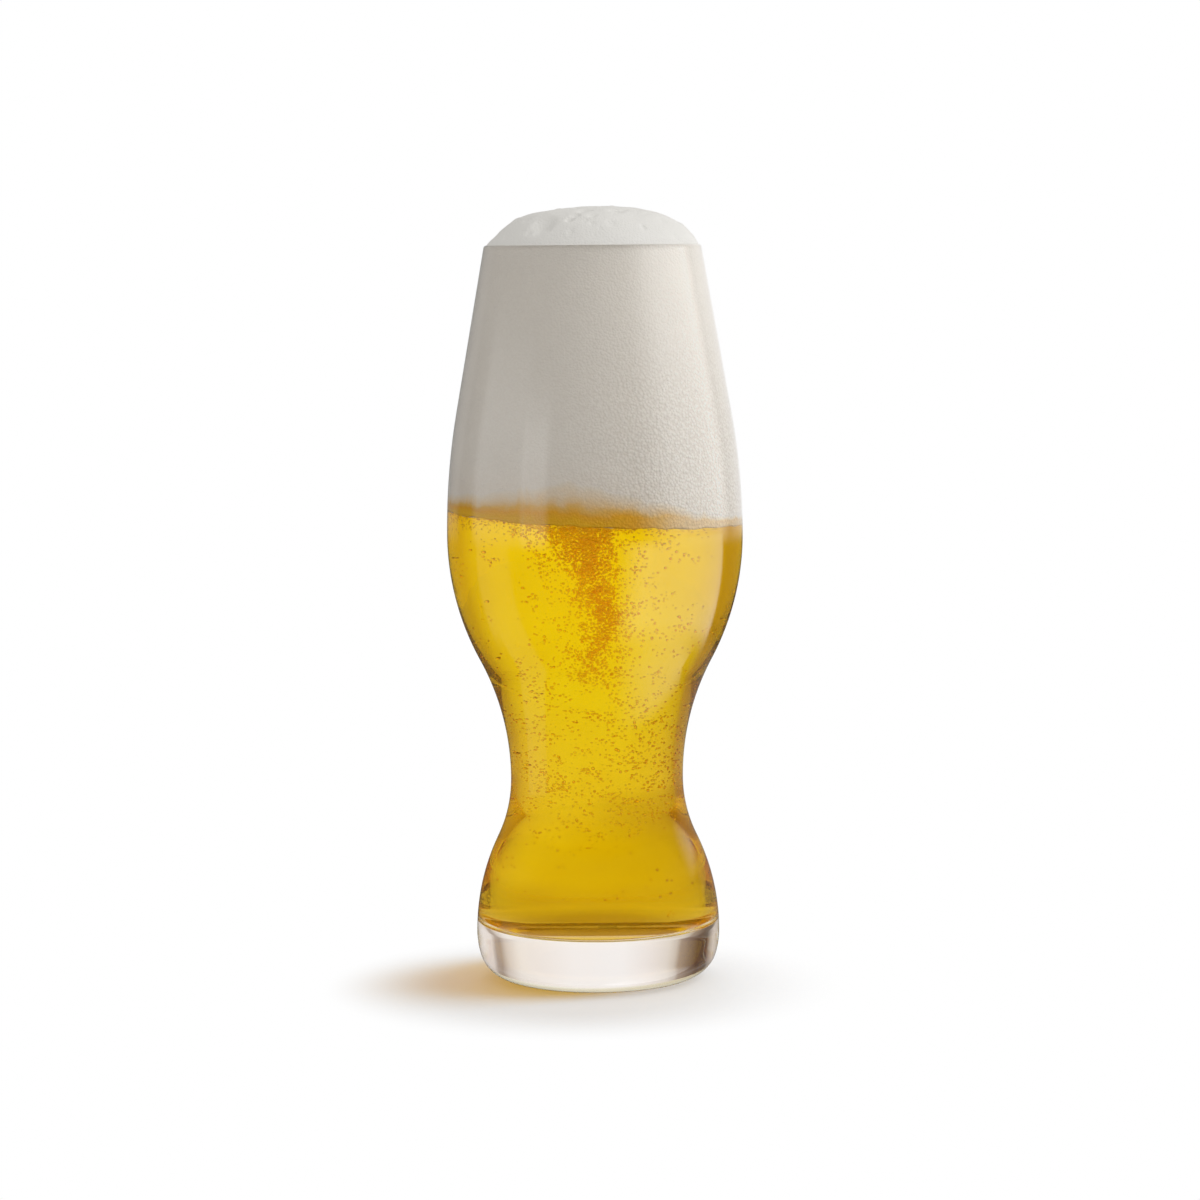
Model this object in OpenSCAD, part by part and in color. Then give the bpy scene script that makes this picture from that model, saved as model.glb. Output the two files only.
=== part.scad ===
// Weizen glass, freshly poured
// One turned piece of clear glass with a heavy foot, a drawn-in waist, a full belly and a rounded lip,
// holding wheat beer, its rising bubbles and a foam head that stands above the rim
// Z is the axis of the glass, the foot stands on z = 0, and the front looks along -Y

/* [Glass outside] */
// Height of the lip above the table
glass_height = 216; // [190:1:240]
// Outside diameter of the lip
rim_diameter = 63.6; // [58:0.2:70]
// Outside diameter of the belly, the widest place
belly_diameter = 86.8; // [80:0.2:94]
// Height of the belly above the table
belly_height = 131.6; // [122:0.2:140]
// Outside diameter of the waist, the narrowest place
waist_diameter = 50.8; // [46:0.2:56]
// Height of the waist above the table
waist_height = 59.6; // [54:0.2:66]
// Outside diameter of the foot at its widest place
foot_diameter = 71.8; // [66:0.2:78]
// Height of the foot's widest place above the table
foot_height = 13.8; // [12:0.2:16]
// Radius of the round under the foot's widest place
foot_round_radius = 23.8; // [20:0.2:28]
// Radius of the toe, the small round that meets the table
toe_radius = 10; // [8:0.2:11.5]
// Width of the flat ring that the glass stands on
ring_width = 3.4; // [2:0.2:6]
// Depth of the shallow hollow inside the ring
punt_depth = 1.2; // [0.6:0.1:2.4]

/* [Glass wall] */
// Wall at the lip, rounded over its full width
rim_wall = 1.8; // [1.4:0.1:2.4]
// Wall at the belly
belly_wall = 2.2; // [1.6:0.1:3]
// Wall at the waist
waist_wall = 3; // [2.2:0.1:4]
// Wall at the widest place of the lower bulb, just above its floor
bulb_wall = 4.2; // [3.4:0.1:5.4]
// Thickness of the solid foot under the beer
floor_height = 15.4; // [13:0.2:19]
// Radius of the corner between the floor and the wall of the bulb
floor_corner_radius = 5; // [3.5:0.25:7]

/* [Beer and foam] */
// Height of the beer on the axis
beer_height = 136; // [126:0.5:150]
// Slant of the beer's surface, lower on the right
beer_slant = 3.4; // [0:0.2:6]
// Height of the foam crown above the lip
crown_height = 11.2; // [7:0.2:13]
// Radius of the nearly flat top of the crown
crown_top_radius = 90; // [70:1:130]
// Radius of the crown's rounded shoulder
crown_shoulder_radius = 21.6; // [17:0.2:26]

/* [Bubbles] */
// Diameter of the smallest bubbles
small_bubble_diameter = 0.7; // [0.5:0.05:0.9]
// Diameter of the largest bubbles
large_bubble_diameter = 1.2; // [1:0.05:1.6]
// Bubbles in the plume that hangs under the foam
plume_count = 64; // [20:1:90]
// Length of the plume below the foam
plume_length = 42; // [30:1:55]
// Diameter of the plume where it meets the foam
plume_diameter = 19; // [14:0.5:26]
// Bubbles that rise through the waist and the lower bulb
rising_count = 72; // [20:1:100]
// Bubbles that cling to the wall of the waist
wall_count = 18; // [6:1:30]
// Gap between a clinging bubble and the wall
wall_gap = 0.2; // [0.15:0.05:0.4]

/* [Hidden] */
$fn = 96;
bubble_sides = 16;
// Largest distance between a round and the short edges that stand for it
chord_error = 0.02;
// Share of the curve between the foot and the waist that the wide foot takes
foot_curve_share = 0.616;
// Share of the same curve on the inside that the wide bulb takes
bulb_curve_share = 0.55;
// Share of the curve between the belly and the waist that the wide belly takes
belly_curve_share = 0.511;
// Share that the round above the belly has of the largest one, which would leave no straight taper
taper_curve_share = 0.668;
// Angle from one bubble to the next, which never lines up
golden_angle = 137.508;
// Steps that spread the bubbles over their places and sizes
spread_share = 0.7549;
size_share = 0.5698;
// Share of the plume's width that is left at its lower end
plume_tip_share = 0.35;
// Share of the cavity's width that the rising bubbles keep to
rising_width_share = 0.72;
// Half of the angle around the right side that the clinging bubbles take
wall_bubble_angle = 70;
// Share of the way from the waist down to the floor where the clinging bubbles begin
wall_low_share = 0.3;
// Share of the way from the waist up to the belly where the clinging bubbles end
wall_high_share = 0.35;

lip_radius = rim_wall / 2;
lip_centre = [rim_diameter / 2 - lip_radius, glass_height - lip_radius];
overrun = glass_height;

// Widest and narrowest places as [radius, height], outside and inside
foot_wide = [foot_diameter / 2, foot_height];
waist_narrow = [waist_diameter / 2, waist_height];
belly_wide = [belly_diameter / 2, belly_height];
bulb_height = floor_height + floor_corner_radius;
foot_curve = curve_radii(foot_wide, waist_narrow, foot_curve_share);
bulb_outside = foot_wide.x - foot_curve[0] + sqrt(pow(foot_curve[0], 2) - pow(bulb_height - foot_height, 2));
bulb_wide = [bulb_outside - bulb_wall, bulb_height];
waist_inside = waist_narrow - [waist_wall, 0];
belly_inside = belly_wide - [belly_wall, 0];

// Two rounds that leave a wide place and a narrow place upright and run smoothly into each other:
// the radius of the round at the wide place, then the one at the narrow place
function curve_radii(wide, narrow, share) =
    let (step = wide - narrow, both = (step * step) / (2 * step.x))
    [share * both, (1 - share) * both];

// Angle above or below the level at which those two rounds meet
function curve_turn(wide, narrow, share) =
    let (radii = curve_radii(wide, narrow, share))
    atan2(abs(wide.y - narrow.y), narrow.x + radii[1] - wide.x + radii[0]);

// Round above the belly, from which a straight taper runs onto the round lip and touches it
// on its outer side or, with side = -1, on its inner side: its radius, and the angle at which it ends
function taper_radius(wide, side) =
    let (way = lip_centre - wide)
    taper_curve_share * (way * way - pow(lip_radius, 2)) / (-2 * (way.x + side * lip_radius));
function taper_turn(wide, side) =
    let (radius = taper_radius(wide, side), way = lip_centre - wide + [radius, 0])
    atan2(way.y, way.x) - acos((radius - side * lip_radius) / norm(way));

// A round is written as [centre, radius, first angle, last angle]
function wide_round(place, radius, first, last) = [place - [radius, 0], radius, first, last];
function narrow_round(place, radius, first, last) = [place + [radius, 0], radius, first, last];

// Points along a round, close enough to keep within the chord error
function round_points(r) =
    let (turn = r[3] - r[2], steps = ceil(abs(turn) / (2 * acos(1 - chord_error / r[1]))))
    [for (i = [0 : steps]) r[0] + r[1] * [cos(r[2] + turn * i / steps), sin(r[2] + turn * i / steps)]];

function line_of(rounds) = [for (r = rounds) each round_points(r)];

// Points without those that repeat the one before
function repeats(points, i) = i > 0 && norm(points[i] - points[i - 1]) < chord_error / 2;
function without_repeats(points) = [for (i = [0 : len(points) - 1]) if (!repeats(points, i)) points[i]];

// Points from the last to the first
function turned_back(points) = [for (i = [len(points) - 1 : -1 : 0]) points[i]];

// The rounds of a waisted wall from its lower wide place up to the taper under the lip
function wall_rounds(low, low_share, waist, high, side) =
    let (
        low_radii = curve_radii(low, waist, low_share),
        high_radii = curve_radii(high, waist, belly_curve_share),
        low_turn = curve_turn(low, waist, low_share),
        high_turn = curve_turn(high, waist, belly_curve_share)
    )
    [
        wide_round(low, low_radii[0], 0, low_turn),
        narrow_round(waist, low_radii[1], 180 + low_turn, 180),
        narrow_round(waist, high_radii[1], 180, 180 - high_turn),
        wide_round(high, high_radii[0], -high_turn, 0),
        wide_round(high, taper_radius(high, side), 0, taper_turn(high, side))
    ];

// Lower corner of the foot: a wide round that runs into the toe
toe_way = [foot_round_radius - toe_radius, foot_height - toe_radius];
toe_centre = [foot_wide.x - foot_round_radius + sqrt(pow(toe_way.x, 2) - pow(toe_way.y, 2)), toe_radius];
toe_turn = -asin(toe_way.y / toe_way.x);

// Hollow under the foot, part of a large ball
punt_reach = toe_centre.x - ring_width;
punt_radius = (pow(punt_reach, 2) + pow(punt_depth, 2)) / (2 * punt_depth);
punt_turn = asin(punt_reach / punt_radius);
punt_line = round_points([[0, punt_depth - punt_radius], punt_radius, 90, 90 - punt_turn]);

outside_line = line_of(concat(
    [[toe_centre, toe_radius, -90, toe_turn], wide_round(foot_wide, foot_round_radius, toe_turn, 0)],
    wall_rounds(foot_wide, foot_curve_share, waist_narrow, belly_wide, 1)
));

// The lip from either wall up to its crest, where the foam's crown begins
lip_outside_line = round_points([lip_centre, lip_radius, taper_turn(belly_wide, 1), 90]);
lip_inside_line = round_points([lip_centre, lip_radius, 180 + taper_turn(belly_inside, -1), 90]);
crest = lip_centre + [0, lip_radius];

inside_line = without_repeats(concat(
    [[0, floor_height]],
    line_of(concat(
        [[bulb_wide - [floor_corner_radius, 0], floor_corner_radius, -90, 0]],
        wall_rounds(bulb_wide, bulb_curve_share, waist_inside, belly_inside, -1)
    )),
    [lip_inside_line[0]]
));

// Crown of the foam: a shoulder that starts at the crest and runs into a flat top
crown_centre = [0, crest.y + crown_height - crown_top_radius];
shoulder_way = crest - crown_centre;
shoulder_reach = crown_top_radius - crown_shoulder_radius;
shoulder_cosine = (pow(shoulder_reach, 2) + shoulder_way * shoulder_way - pow(crown_shoulder_radius, 2))
    / (2 * shoulder_reach * norm(shoulder_way));
shoulder_turn = atan2(shoulder_way.y, shoulder_way.x) + acos(shoulder_cosine);
shoulder_centre = crown_centre + shoulder_reach * [cos(shoulder_turn), sin(shoulder_turn)];
shoulder_start = atan2(crest.y - shoulder_centre.y, crest.x - shoulder_centre.x);
crown_line = line_of([
    [shoulder_centre, crown_shoulder_radius, shoulder_start, shoulder_turn],
    [crown_centre, crown_top_radius, shoulder_turn, 90]
]);

// Radius of the cavity at a height
cavity_wall = [for (p = inside_line) if (p.y > floor_height) [p.y, p.x]];
function cavity_radius(height) = lookup(height, cavity_wall);

// Places and sizes of bubbles, spread evenly but without order
function spread(i) = (i * spread_share) % 1;
function bubble_radius(i) =
    (small_bubble_diameter + (large_bubble_diameter - small_bubble_diameter) * ((i * size_share) % 1)) / 2;
function around(radius, turn, height) = [radius * cos(turn), radius * sin(turn), height];

// The plume stops a large bubble short of the slanted foam
plume_top = beer_height - plume_diameter / 2 * tan(beer_slant) - large_bubble_diameter;
plume_low = beer_height - plume_length;
plume_places = [
    for (i = [0 : plume_count - 1])
        let (
            rise = (i + 0.5) / plume_count,
            reach = plume_diameter / 2 * (plume_tip_share + (1 - plume_tip_share) * rise)
        )
        around(reach * sqrt(spread(i)), i * golden_angle, plume_low + rise * (plume_top - plume_low))
];

// The rising bubbles fill the lower glass up to the plume
rising_low = bulb_height;
rising_high = plume_low - large_bubble_diameter;
rising_places = [
    for (i = [0 : rising_count - 1])
        let (height = rising_low + (rising_high - rising_low) * (i + 0.5) / rising_count)
        around(rising_width_share * cavity_radius(height) * sqrt(spread(i)), i * golden_angle, height)
];

// The clinging bubbles sit on the right side of the waist
wall_low = waist_height - wall_low_share * (waist_height - floor_height);
wall_high = waist_height + wall_high_share * (belly_height - waist_height);
wall_places = [
    for (i = [0 : wall_count - 1])
        let (height = wall_low + (wall_high - wall_low) * (i + 0.5) / wall_count)
        around(
            cavity_radius(height) - large_bubble_diameter / 2 - wall_gap,
            wall_bubble_angle * (2 * spread(i) - 1),
            height
        )
];

// Everything under the slanted surface of the beer
module under_surface() {
    translate([0, 0, beer_height])
        rotate([0, beer_slant, 0])
            translate([-overrun, -overrun, -2 * overrun])
                cube(2 * overrun);
}

module turned(points) {
    rotate_extrude()
        polygon(points);
}

module bubbles(places) {
    for (i = [0 : len(places) - 1])
        translate(places[i])
            sphere(bubble_radius(i), $fn = bubble_sides);
}

module glass() {
    color([0.93, 0.95, 0.95, 0.35])
        turned(without_repeats(concat(
            punt_line,
            outside_line,
            lip_outside_line,
            turned_back(lip_inside_line),
            turned_back(inside_line)
        )));
}

module beer() {
    color([0.93, 0.74, 0.12, 0.8])
        difference() {
            intersection() {
                turned(concat(inside_line, [[0, crest.y]]));
                under_surface();
            }
            bubbles(plume_places);
            bubbles(rising_places);
            bubbles(wall_places);
        }
}

module foam_head() {
    color([0.89, 0.87, 0.83])
        difference() {
            turned(without_repeats(concat(inside_line, lip_inside_line, crown_line)));
            under_surface();
        }
}

module bubble_plume() {
    color([0.85, 0.6, 0.2, 0.6])
        bubbles(plume_places);
}

module rising_bubbles() {
    color([0.9, 0.68, 0.2, 0.6])
        bubbles(rising_places);
}

module wall_bubbles() {
    color([0.9, 0.68, 0.2, 0.6])
        bubbles(wall_places);
}

glass();
beer();
foam_head();
bubble_plume();
rising_bubbles();
wall_bubbles();
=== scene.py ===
"""Looks of a freshly poured weizen glass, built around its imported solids.

The glass is turned from the same rounds as its solid, the beer and the foam fill it from the floor to the
crown, and the bubbles are blown one by one. Lengths are in metres, Z is up and the front looks along -Y.
"""

import logging
import math
from dataclasses import dataclass
from enum import Enum
from functools import reduce
from typing import Any, ClassVar, Iterable

import bpy
import numpy as np
from mathutils import Matrix, Vector


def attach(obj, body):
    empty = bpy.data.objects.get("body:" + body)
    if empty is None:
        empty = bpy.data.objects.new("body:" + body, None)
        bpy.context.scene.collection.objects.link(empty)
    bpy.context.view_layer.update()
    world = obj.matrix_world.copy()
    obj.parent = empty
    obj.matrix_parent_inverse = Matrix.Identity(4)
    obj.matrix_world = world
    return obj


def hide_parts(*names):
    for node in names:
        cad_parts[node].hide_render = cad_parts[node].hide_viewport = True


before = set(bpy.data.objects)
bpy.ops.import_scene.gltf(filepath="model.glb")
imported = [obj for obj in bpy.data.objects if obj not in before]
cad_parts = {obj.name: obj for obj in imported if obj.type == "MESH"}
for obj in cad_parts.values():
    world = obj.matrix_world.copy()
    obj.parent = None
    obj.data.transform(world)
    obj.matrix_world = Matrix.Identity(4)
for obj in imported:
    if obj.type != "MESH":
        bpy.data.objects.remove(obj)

log = logging.getLogger("weizen_glass")

Colour = tuple[float, float, float, float]
Triple = tuple[float, float, float]
Point = tuple[float, float]
Rows = tuple[tuple[float, ...], ...]
Arrays = tuple[np.ndarray, np.ndarray]
Socket = bpy.types.NodeSocket

MM = 0.001
BODY = "root"
HALF_TURN = 180
WHITE: Colour = (1, 1, 1, 1)
LEVEL: Triple = (1, 1, 0)
NO_QUADS, NO_TRIANGLES = np.zeros((0, 4), int), np.zeros((0, 3), int)


class Node(Enum):
    """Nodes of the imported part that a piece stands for."""

    GLASS = "glass"
    BEER = "beer"
    FOAM = "foam_head"
    PLUME = "bubble_plume"
    RISING = "rising_bubbles"
    WALL = "wall_bubbles"


class Slot(Enum):
    """Material slots of the record."""

    GLASS = "glass"
    BEER = "beer"
    FOAM = "foam"
    BUBBLE = "bubble"


# Points and outlines


def softened(share: np.ndarray) -> np.ndarray:
    """A share from 0 to 1, with soft ends."""
    return share * share * (3 - 2 * share)


def follow(values: np.ndarray, rows: Rows) -> np.ndarray:
    """Values read off rows of places and results."""
    return np.interp(values, *zip(*rows))


def around(reach: np.ndarray, turn: np.ndarray, height: np.ndarray) -> np.ndarray:
    """Points by their distance from the axis, angle and height."""
    return np.stack([reach * np.cos(turn), reach * np.sin(turn), height], axis=-1)


def joined(lines: Iterable[np.ndarray], least: float) -> np.ndarray:
    """Lines end to end, without points that repeat the one before.

    Args:
        lines: Arrays of radius and height.
        least: Shortest edge that is kept.

    Returns:
        One array of radius and height.
    """
    points = np.concatenate(list(lines))
    steps = np.linalg.norm(np.diff(points, axis=0), axis=1)
    return points[np.concatenate([[True], steps > least])]


def evened(line: np.ndarray, step: float) -> np.ndarray:
    """A line with points at even steps along it.

    Args:
        line: Radius and height, one row a point.
        step: About how far apart the new points are.

    Returns:
        The new points, with both ends kept.
    """
    along = np.concatenate([[0], np.cumsum(np.linalg.norm(np.diff(line, axis=0), axis=1))])
    places = np.linspace(0, along[-1], max(2, round(along[-1] / step) + 1))
    return np.stack([np.interp(places, along, line[:, 0]), np.interp(places, along, line[:, 1])], axis=1)


@dataclass(frozen=True)
class Round:
    """A circular stretch of a half outline, drawn from one angle to another."""

    centre: Point
    radius: float
    first: float
    last: float

    def points(self, chord_error: float) -> np.ndarray:
        """Points along the round.

        Args:
            chord_error: Largest distance between the round and the edges that stand for it.

        Returns:
            An array of radius and height, one row a point.
        """
        step = 2 * math.acos(1 - chord_error / self.radius)
        count = max(2, math.ceil(abs(self.last - self.first) / step) + 1)
        angles = np.linspace(self.first, self.last, count)
        return np.array(self.centre) + self.radius * np.stack([np.cos(angles), np.sin(angles)], axis=1)


@dataclass(frozen=True)
class GlassOutline:
    """Sizes of the glass and the rounds that its half outline is made of."""

    height: float = 216 * MM
    rim_radius: float = 31.8 * MM
    belly: Point = (43.4 * MM, 131.6 * MM)
    waist: Point = (25.4 * MM, 59.6 * MM)
    foot: Point = (35.9 * MM, 13.8 * MM)
    foot_round_radius: float = 23.8 * MM
    toe_radius: float = 10 * MM
    ring_width: float = 3.4 * MM
    punt_depth: float = 1.2 * MM
    rim_wall: float = 1.8 * MM
    belly_wall: float = 2.2 * MM
    waist_wall: float = 3 * MM
    bulb_wall: float = 4.2 * MM
    floor_height: float = 15.4 * MM
    floor_corner_radius: float = 5 * MM
    foot_curve_share: float = 0.616
    bulb_curve_share: float = 0.55
    belly_curve_share: float = 0.511
    taper_curve_share: float = 0.668
    chord_error: float = 0.002 * MM
    least_edge: float = 0.004 * MM

    @property
    def lip_radius(self) -> float:
        """Radius of the rounded lip, half of the wall there."""
        return self.rim_wall / 2

    @property
    def lip_centre(self) -> np.ndarray:
        """Centre of the rounded lip."""
        return np.array([self.rim_radius - self.lip_radius, self.height - self.lip_radius])

    @property
    def crest(self) -> np.ndarray:
        """Highest point of the lip."""
        return self.lip_centre + np.array([0, self.lip_radius])

    @property
    def bulb(self) -> Point:
        """Radius and height of the cavity at its widest place above the floor.

        Returns:
            The radius and the height.
        """
        height = self.floor_height + self.floor_corner_radius
        wide = self.curve(self.foot, self.waist, self.foot_curve_share)[0]
        outer = self.foot[0] - wide + math.sqrt(wide**2 - (height - self.foot[1]) ** 2)
        return outer - self.bulb_wall, height

    @staticmethod
    def curve(wide: Point, narrow: Point, share: float) -> Triple:
        """The two rounds that join a wide place smoothly to a narrow one.

        Args:
            wide: Radius and height of the wide place.
            narrow: Radius and height of the narrow place.
            share: Share of the curve that the wide place takes.

        Returns:
            The radius at the wide place, the radius at the narrow place and the angle at which they meet.
        """
        across, along = wide[0] - narrow[0], abs(wide[1] - narrow[1])
        both = (across**2 + along**2) / (2 * across)
        return share * both, (1 - share) * both, math.atan2(along, both - across)

    def taper(self, wide: Point, side: int) -> Point:
        """The round above the belly that a straight taper carries on to the lip.

        Args:
            wide: Radius and height of the belly.
            side: 1 for the outside of the wall, -1 for the inside.

        Returns:
            Its radius, and the angle at which it ends.
        """
        way = self.lip_centre - np.array(wide)
        radius = self.taper_curve_share * (way @ way - self.lip_radius**2)
        radius /= -2 * (way[0] + side * self.lip_radius)
        way = way + np.array([radius, 0])
        turn = math.atan2(way[1], way[0]) - math.acos((radius - side * self.lip_radius) / np.hypot(*way))
        return radius, turn

    def drawn(self, *rounds: Round) -> np.ndarray:
        """Rounds as one line of radius and height."""
        return joined((r.points(self.chord_error) for r in rounds), self.least_edge)

    def wall(self, low: Point, low_share: float, waist: Point, high: Point, side: int) -> list[Round]:
        """One side of the wall, from its lower wide place up to the crest of the lip.

        Args:
            low: Radius and height of the lower wide place.
            low_share: Share of the lower curve that this wide place takes.
            waist: Radius and height of the waist.
            high: Radius and height of the belly.
            side: 1 for the outside, -1 for the inside.

        Returns:
            The rounds of the wall, from low to high.
        """
        low_wide, low_narrow, low_turn = self.curve(low, waist, low_share)
        high_wide, high_narrow, high_turn = self.curve(high, waist, self.belly_curve_share)
        taper_radius, taper_turn = self.taper(high, side)
        lip_turn = taper_turn if side > 0 else math.pi + taper_turn
        return [
            Round((low[0] - low_wide, low[1]), low_wide, 0, low_turn),
            Round((waist[0] + low_narrow, waist[1]), low_narrow, math.pi + low_turn, math.pi),
            Round((waist[0] + high_narrow, waist[1]), high_narrow, math.pi, math.pi - high_turn),
            Round((high[0] - high_wide, high[1]), high_wide, -high_turn, 0),
            Round((high[0] - taper_radius, high[1]), taper_radius, 0, taper_turn),
            Round(tuple(self.lip_centre), self.lip_radius, lip_turn, math.pi / 2),
        ]

    def outside(self) -> np.ndarray:
        """Underside, foot and outer wall, from the axis to the crest of the lip.

        Returns:
            Radius and height, one row a point.
        """
        way = (self.foot_round_radius - self.toe_radius, self.foot[1] - self.toe_radius)
        toe_x = self.foot[0] - self.foot_round_radius + math.sqrt(way[0] ** 2 - way[1] ** 2)
        toe_turn = -math.asin(way[1] / way[0])
        reach = toe_x - self.ring_width
        punt = (reach**2 + self.punt_depth**2) / (2 * self.punt_depth)
        corner = (self.foot[0] - self.foot_round_radius, self.foot[1])
        quarter = math.pi / 2
        return self.drawn(
            Round((0, self.punt_depth - punt), punt, quarter, quarter - math.asin(reach / punt)),
            Round((toe_x, self.toe_radius), self.toe_radius, -quarter, toe_turn),
            Round(corner, self.foot_round_radius, toe_turn, 0),
            *self.wall(self.foot, self.foot_curve_share, self.waist, self.belly, 1),
        )

    def inside(self) -> np.ndarray:
        """Floor and inner wall, from the axis to the crest of the lip.

        Returns:
            Radius and height, one row a point.
        """
        bulb = self.bulb
        waist = (self.waist[0] - self.waist_wall, self.waist[1])
        belly = (self.belly[0] - self.belly_wall, self.belly[1])
        corner = (bulb[0] - self.floor_corner_radius, bulb[1])
        wall = self.drawn(
            Round(corner, self.floor_corner_radius, -math.pi / 2, 0),
            *self.wall(bulb, self.bulb_curve_share, waist, belly, -1),
        )
        return np.concatenate([[[0, self.floor_height]], wall])

    def cavity_radius(self, heights: np.ndarray) -> np.ndarray:
        """Radius of the cavity at some heights above the table."""
        wall = self.inside()[1:]
        return np.interp(heights, wall[:, 1], wall[:, 0])

    def fitted(self, points: np.ndarray, bite: float) -> np.ndarray:
        """Points moved level onto the wall of the cavity, and by the bite beyond it."""
        scale = (self.cavity_radius(points[:, 2]) + bite) / np.hypot(points[:, 0], points[:, 1])
        return points * np.stack([scale, scale, np.ones(len(points))], axis=1)


# Meshes


def linked(name: str, data: bpy.types.ID) -> bpy.types.Object:
    """An object in the scene.

    Args:
        name: Name of the object.
        data: Its mesh, camera or lamp.

    Returns:
        The object.
    """
    made = bpy.data.objects.new(name, data)
    bpy.context.scene.collection.objects.link(made)
    return made


def mesh_object(
    name: str, vertices: np.ndarray, quads: np.ndarray = NO_QUADS, triangles: np.ndarray = NO_TRIANGLES
) -> bpy.types.Object:
    """A smooth-shaded mesh object from arrays.

    Args:
        name: Name of the piece.
        vertices: One row a vertex.
        quads: Four vertex numbers a row.
        triangles: Three vertex numbers a row.

    Returns:
        The object, linked to the scene.
    """
    mesh = bpy.data.meshes.new(name)
    mesh.vertices.add(len(vertices))
    mesh.vertices.foreach_set("co", np.asarray(vertices, np.float32).ravel())
    corners = np.concatenate([quads.ravel(), triangles.ravel()]).astype(np.int32)
    sizes = np.concatenate([np.full(len(quads), 4), np.full(len(triangles), 3)])
    mesh.loops.add(len(corners))
    mesh.loops.foreach_set("vertex_index", corners)
    mesh.polygons.add(len(sizes))
    mesh.polygons.foreach_set("loop_start", np.concatenate([[0], np.cumsum(sizes)[:-1]]).astype(np.int32))
    mesh.update(calc_edges=True)
    mesh.shade_smooth()
    return linked(name, mesh)


@dataclass(frozen=True)
class Turning:
    """A half outline turned about the axis."""

    sides: int

    def faces(self, rings: int) -> Arrays:
        """Faces of a turned body whose first and last points lie on the axis.

        Args:
            rings: Number of full rings between the two ends.

        Returns:
            Quads between the rings, and triangles at the two ends. The rings' vertices come first, then the
            vertex at the start and the vertex at the end.
        """
        turn = np.arange(self.sides)
        ahead = (turn + 1) % self.sides
        low = (np.arange(rings - 1) * self.sides)[:, None]
        high = low + self.sides
        quads = np.stack([low + turn, low + ahead, high + ahead, high + turn], axis=-1)
        start, end = rings * self.sides, rings * self.sides + 1
        top = (rings - 1) * self.sides
        first = np.stack([np.full(self.sides, start), ahead, turn], axis=-1)
        last = np.stack([np.full(self.sides, end), top + turn, top + ahead], axis=-1)
        return quads.reshape(-1, 4), np.concatenate([first, last])

    def vertices(self, line: np.ndarray) -> np.ndarray:
        """Vertices of a turned outline whose first and last points lie on the axis.

        Args:
            line: Radius and height, one row a point.

        Returns:
            The rings' vertices, then the two on the axis.
        """
        angles = np.linspace(0, 2 * math.pi, self.sides, endpoint=False)
        heights = np.broadcast_to(line[1:-1, 1, None], (len(line) - 2, self.sides))
        rings = around(line[1:-1, 0, None], angles, heights)
        ends = np.array([[0, 0, line[0, 1]], [0, 0, line[-1, 1]]])
        return np.concatenate([rings.reshape(-1, 3), ends])


def ball(splits: int) -> Arrays:
    """A unit ball of even triangles.

    Args:
        splits: How often the twenty faces are split into four.

    Returns:
        Vertices and triangles.
    """
    gold = (1 + math.sqrt(5)) / 2
    points = [(-1, gold, 0), (1, gold, 0), (-1, -gold, 0), (1, -gold, 0), (0, -1, gold), (0, 1, gold)]
    points += [(0, -1, -gold), (0, 1, -gold), (gold, 0, -1), (gold, 0, 1), (-gold, 0, -1), (-gold, 0, 1)]
    faces = [(0, 11, 5), (0, 5, 1), (0, 1, 7), (0, 7, 10), (0, 10, 11), (1, 5, 9), (5, 11, 4), (11, 10, 2)]
    faces += [(10, 7, 6), (7, 1, 8), (3, 9, 4), (3, 4, 2), (3, 2, 6), (3, 6, 8), (3, 8, 9), (4, 9, 5)]
    faces += [(2, 4, 11), (6, 2, 10), (8, 6, 7), (9, 8, 1)]
    vertices = [Vector(p).normalized() for p in points]
    for _ in range(splits):
        middles: dict[tuple[int, ...], int] = {}
        split = []
        for a, b, c in faces:
            mid = []
            for pair in ((a, b), (b, c), (c, a)):
                key = tuple(sorted(pair))
                if key not in middles:
                    middles[key] = len(vertices)
                    vertices.append((vertices[key[0]] + vertices[key[1]]).normalized())
                mid.append(middles[key])
            split += [(a, mid[0], mid[2]), (b, mid[1], mid[0]), (c, mid[2], mid[1]), tuple(mid)]
        faces = split
    return np.array(vertices), np.array(faces)


@dataclass(frozen=True)
class Lumps:
    """Smooth random lumps that repeat in the same way on each run."""

    seed: int
    cells: int = 32
    shift: float = 0.5

    def at(self, points: np.ndarray, size: float) -> np.ndarray:
        """Height of the lumps at some points.

        Args:
            points: One row a point.
            size: About how wide a lump is.

        Returns:
            A value from -1 to 1 at each point.
        """
        table = np.random.default_rng(self.seed).uniform(-1, 1, (self.cells,) * 3)
        places = points / size
        low = np.floor(places).astype(int)
        part = softened(places - low)
        total = np.zeros(len(points))
        for corner in np.ndindex(2, 2, 2):
            cell = (low + corner) % self.cells
            share = np.prod(np.where(np.array(corner) == 1, part, 1 - part), axis=1)
            total += share * table[cell[:, 0], cell[:, 1], cell[:, 2]]
        return total

    def mixed(self, points: np.ndarray, rows: Rows) -> np.ndarray:
        """Lumps of several sizes and shares, each shifted from the ones before."""
        return sum(share * self.at(points + i * self.shift, size) for i, (size, share) in enumerate(rows))


# Node trees


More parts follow.
